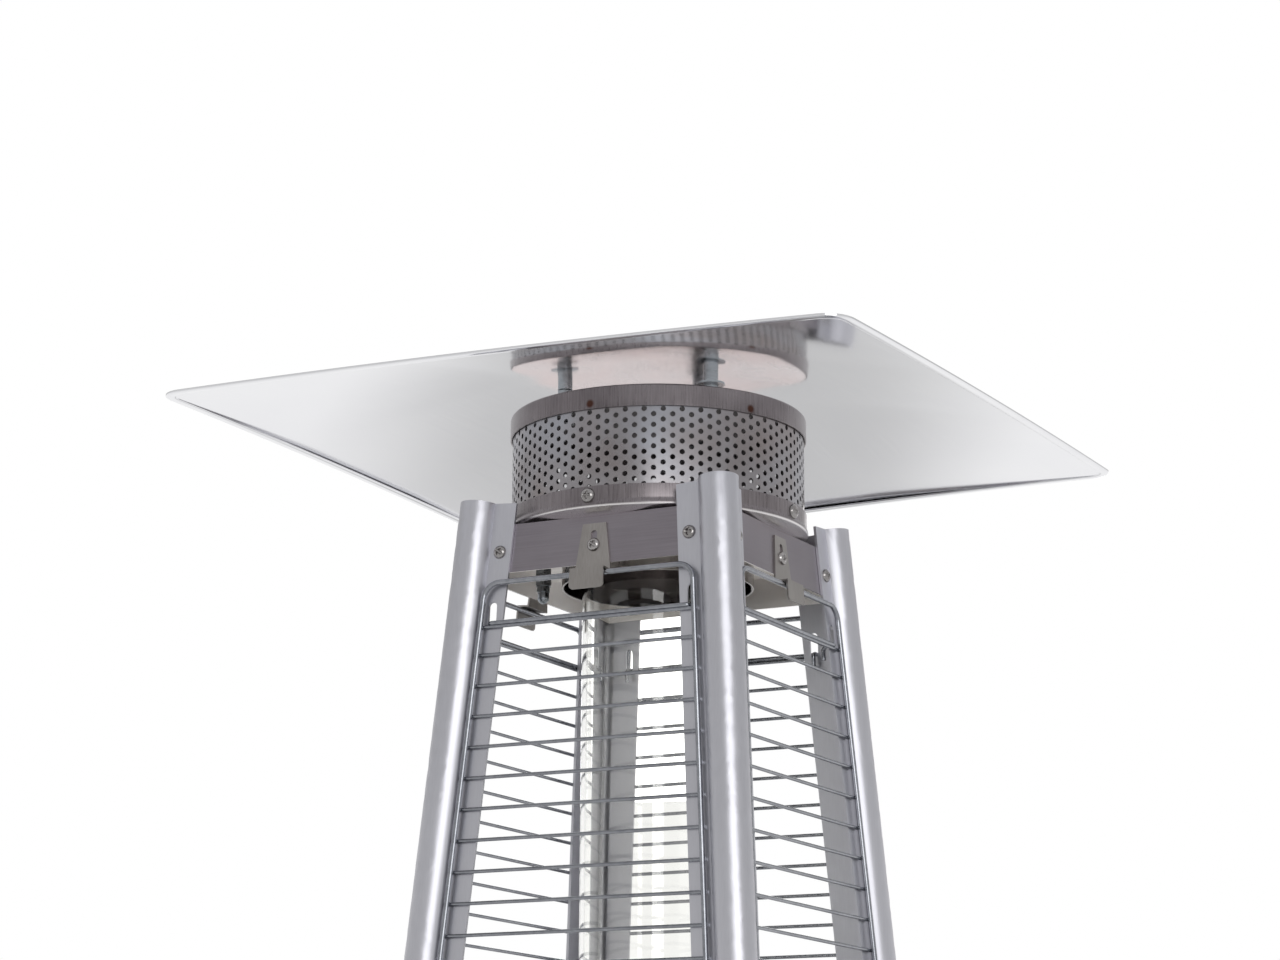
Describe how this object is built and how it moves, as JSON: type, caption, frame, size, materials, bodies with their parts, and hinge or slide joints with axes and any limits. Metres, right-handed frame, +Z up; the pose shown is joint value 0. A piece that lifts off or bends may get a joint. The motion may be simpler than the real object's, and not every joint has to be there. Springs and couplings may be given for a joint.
{
  "type": "pyramid patio heater",
  "caption": "Tall pyramid gas patio heater: leaning corner posts, glass flame tube behind wire guards, vented drum with a square reflector on top, and a cabinet with a door below.",
  "frame": {"origin": "on the floor under the middle of the square base", "axes": "+Z up, -Y towards the front with the door and the knob, +Y towards the wheels"},
  "size_m": [0.524, 0.63, 2.2678],
  "materials": {
    "aluminium": "satin anodised extrusion",
    "chrome_wire": "chrome plated wire",
    "box_steel": "brushed, heat darkened",
    "collar_steel": "bright, heat darkened inside",
    "drum_steel": "brushed, heat tinted",
    "screen_steel": "perforated, heat tinted",
    "reflector_steel": "polished",
    "stud_steel": "zinc plated, bright",
    "screw_steel": "bright stainless",
    "glass": "clear quartz",
    "gasket": "woven ceramic rope",
    "deck_steel": "brushed",
    "brass": "machined",
    "pipe_steel": "drawn",
    "ceramic": "glazed ceramic",
    "panel_steel": "vertical brushed",
    "dial_black": "moulded",
    "knob_black": "moulded",
    "button_red": "moulded",
    "handle_steel": "satin",
    "base_black": "fine textured powder coat",
    "bracket_black": "powder coat",
    "axle_steel": "zinc plated",
    "hub_plastic": "moulded",
    "tyre": "moulded",
    "rubber": "moulded"
  },
  "bodies": {
    "frame": {"post_back_right": "aluminium", "post_back_left": "aluminium", "post_front_left": "aluminium", "post_front_right": "aluminium", "guard_front": "chrome_wire", "guard_right": "chrome_wire", "guard_back": "chrome_wire", "guard_left": "chrome_wire", "top_box": "box_steel", "guard_clips": "box_steel", "flue_collar": "collar_steel", "drum_pan": "drum_steel", "drum_lid": "drum_steel", "perforated_screen": "screen_steel", "reflector": "reflector_steel", "reflector_posts": "stud_steel", "post_washers": "stud_steel", "reflector_washers": "stud_steel", "wing_nuts": "stud_steel", "drum_bolts": "stud_steel", "drum_nuts": "stud_steel", "clip_screws": "screw_steel", "clip_nuts": "screw_steel", "post_screws": "screw_steel", "drum_screws": "screw_steel", "glass_tube": "glass", "glass_gasket": "gasket", "glass_seat": "deck_steel", "burner_deck": "deck_steel", "burner": "deck_steel", "burner_screen": "deck_steel", "gas_injector": "brass", "gas_valve": "brass", "gas_pipe": "pipe_steel", "pilot_tube": "pipe_steel", "thermocouple": "pipe_steel", "igniter_electrode": "ceramic", "control_panel": "panel_steel", "panel_right": "panel_steel", "panel_back": "panel_steel", "panel_left": "panel_steel", "dial_plate": "dial_black", "igniter_body": "dial_black", "tilt_switch": "dial_black", "hinge_pins": "handle_steel", "base": "base_black", "wheel_bracket": "bracket_black", "wheel_axle": "axle_steel", "axle_caps": "hub_plastic", "rubber_feet": "rubber"},
    "door": {"door": "panel_steel", "door_handle": "handle_steel"},
    "door_latch": {"door_latch": "handle_steel"},
    "valve_stem": {"valve_stem": "brass"},
    "control_knob": {"control_knob": "knob_black"},
    "igniter_button": {"igniter_button": "button_red"},
    "wheel_left": {"wheel_hub_left": "hub_plastic", "wheel_tyre_left": "tyre"},
    "wheel_right": {"wheel_hub_right": "hub_plastic", "wheel_tyre_right": "tyre"}
  },
  "joints": [
    {"name": "door_hinge", "type": "hinge", "parent": "frame", "child": "door", "pos_m": [-0.19786, -0.23417, 0.10304], "axis": [0.0735, 0.0735, 0.9946], "range_deg": [-105, 0]},
    {"name": "latch_turn", "type": "hinge", "parent": "door", "child": "door_latch", "pos_m": [0, -0.20446, 0.61665], "axis": [0, -0.9973, 0.0737], "range_deg": [0, 90]},
    {"name": "knob_push", "type": "slide", "parent": "frame", "child": "valve_stem", "axis": [0, 0.9973, -0.0737], "range_m": [0, 0.004], "stiffness_N_per_m": 2000, "springref_m": -0.002},
    {"name": "knob_turn", "type": "hinge", "parent": "valve_stem", "child": "control_knob", "pos_m": [0, -0.19172, 0.762], "axis": [0, -0.9973, 0.0737], "range_deg": [0, 180]},
    {"name": "igniter_push", "type": "slide", "parent": "frame", "child": "igniter_button", "axis": [0, 0.9973, -0.0737], "range_m": [0, 0.005], "stiffness_N_per_m": 1500, "springref_m": -0.002},
    {"name": "wheel_left_roll", "type": "hinge", "parent": "frame", "child": "wheel_left", "pos_m": [0, 0.318, 0.053], "axis": [1, 0, 0], "continuous": true},
    {"name": "wheel_right_roll", "type": "hinge", "parent": "frame", "child": "wheel_right", "pos_m": [0, 0.318, 0.053], "axis": [1, 0, 0], "continuous": true}
  ]
}
